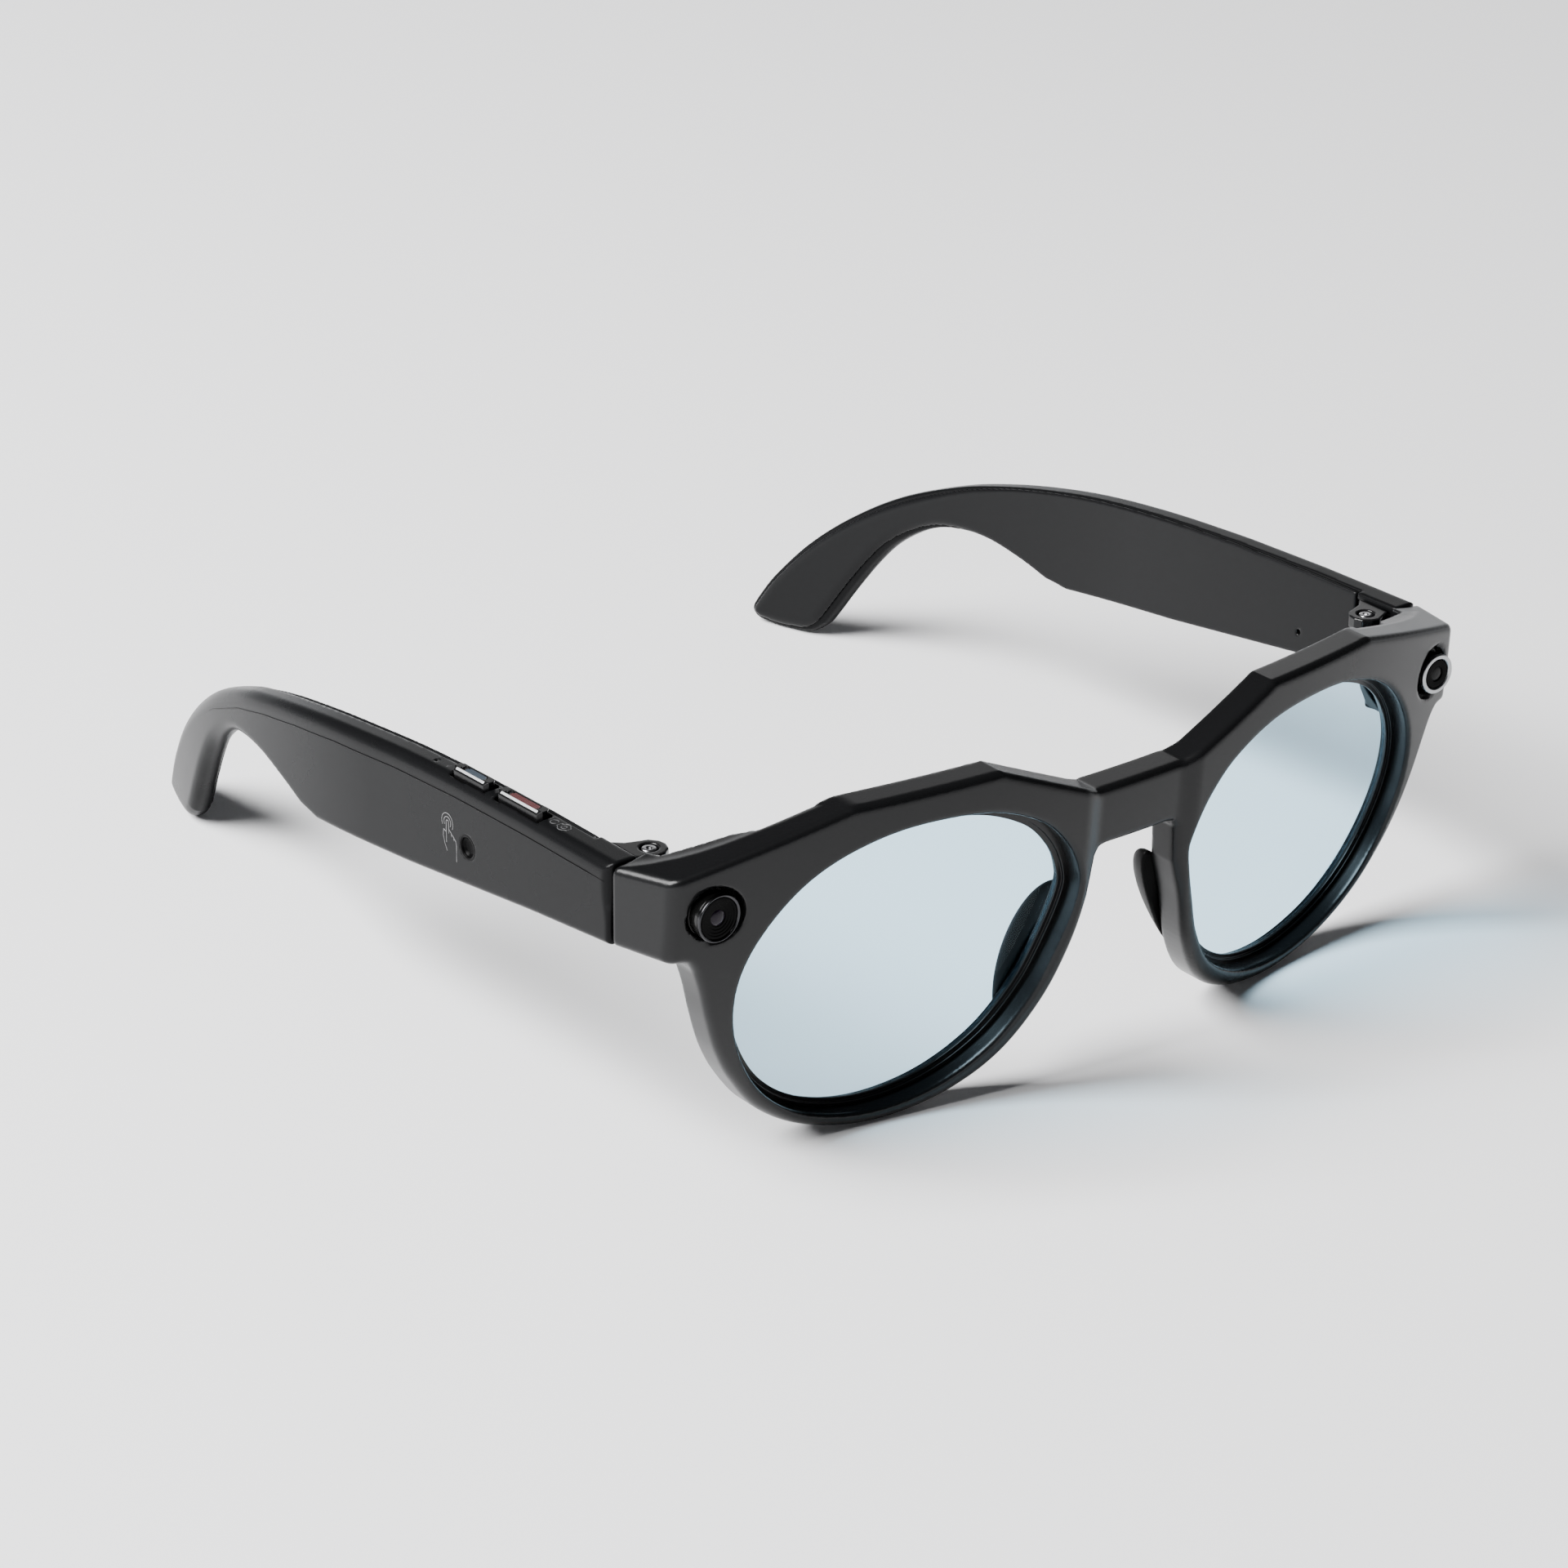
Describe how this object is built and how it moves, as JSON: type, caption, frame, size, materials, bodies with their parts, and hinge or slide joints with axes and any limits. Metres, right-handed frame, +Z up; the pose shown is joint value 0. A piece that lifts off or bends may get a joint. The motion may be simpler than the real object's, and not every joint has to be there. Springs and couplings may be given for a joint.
{
  "type": "smart glasses",
  "caption": "Smart glasses with a camera and a light in the end pieces, folding electronics temples, press buttons and a touch area.",
  "frame": {"origin": "on the surface that the glasses stand on, under the middle of their box", "axes": "+X towards the wearer's left, -Y forward, +Z up; the temples run back along +Y"},
  "size_m": [0.1532, 0.166, 0.0551],
  "materials": {
    "frame": "satin black injection-moulded plastic, fine grain",
    "temple_shell": "satin black plastic, fine grain",
    "temple_cover": "satin black plastic",
    "bay_cover": "semi-gloss black plastic",
    "lens": "clear with a pale blue cast",
    "nose_pad": "soft matte black silicone",
    "module_body": "black turned barrel",
    "camera_ring": "dark anodised, turned",
    "light_ring": "silver, finely turned",
    "camera_glass": "polished black glass",
    "light_window": "smoked diffuser",
    "sensor": "black moulded housing",
    "board": "green solder mask",
    "hinge_metal": "black coated steel",
    "hinge_screw": "bright steel",
    "battery": "foil pouch",
    "speaker": "black housing",
    "microphone": "small metal can",
    "flex": "amber flexible circuit",
    "contacts": "gold plated",
    "switch": "steel dome on a dark base",
    "photo_button": "dark red anodised, ribbed",
    "volume_button": "blue-grey anodised, ribbed"
  },
  "bodies": {
    "front": {"front_frame": "frame", "left_bay_cover": "bay_cover", "right_bay_cover": "bay_cover", "left_lens": "lens", "right_lens": "lens", "left_nose_pad": "nose_pad", "right_nose_pad": "nose_pad", "camera_barrel": "module_body", "light_barrel": "module_body", "camera_trim_ring": "camera_ring", "light_ring": "light_ring", "camera_cover_glass": "camera_glass", "light_window": "light_window", "camera_sensor_module": "sensor", "light_board": "board", "left_frame_knuckle": "hinge_metal", "right_frame_knuckle": "hinge_metal"},
    "left_temple": {"left_temple_shell": "temple_shell", "left_temple_inner_cover": "temple_cover", "left_hinge_bracket": "hinge_metal", "left_hinge_screw": "hinge_screw", "left_battery": "battery", "left_speaker": "speaker", "left_microphone": "microphone", "left_audio_board": "board"},
    "right_temple": {"right_temple_shell": "temple_shell", "right_temple_inner_cover": "temple_cover", "right_hinge_bracket": "hinge_metal", "right_hinge_screw": "hinge_screw", "right_battery": "battery", "right_speaker": "speaker", "right_microphone": "microphone", "right_main_board": "board", "touch_sensor": "flex", "charging_contacts": "contacts", "photo_switch": "switch", "volume_switch": "switch"},
    "photo_button": {"photo_button": "photo_button"},
    "volume_button": {"volume_button": "volume_button"}
  },
  "joints": [
    {"name": "left_temple_fold", "type": "hinge", "parent": "front", "child": "left_temple", "pos_m": [0.0679, -0.0575, 0.0414], "axis": [0, 0, 1], "range_deg": [0, 88]},
    {"name": "right_temple_fold", "type": "hinge", "parent": "front", "child": "right_temple", "pos_m": [-0.0679, -0.0575, 0.0414], "axis": [0, 0, -1], "range_deg": [0, 80]},
    {"name": "photo_button_press", "type": "slide", "parent": "right_temple", "child": "photo_button", "axis": [0, 0, -1], "range_m": [0, 0.0004], "stiffness_N_per_m": 300, "springref_m": -0.001},
    {"name": "volume_button_press", "type": "slide", "parent": "right_temple", "child": "volume_button", "axis": [0, 0, -1], "range_m": [0, 0.0004], "stiffness_N_per_m": 300, "springref_m": -0.001}
  ]
}
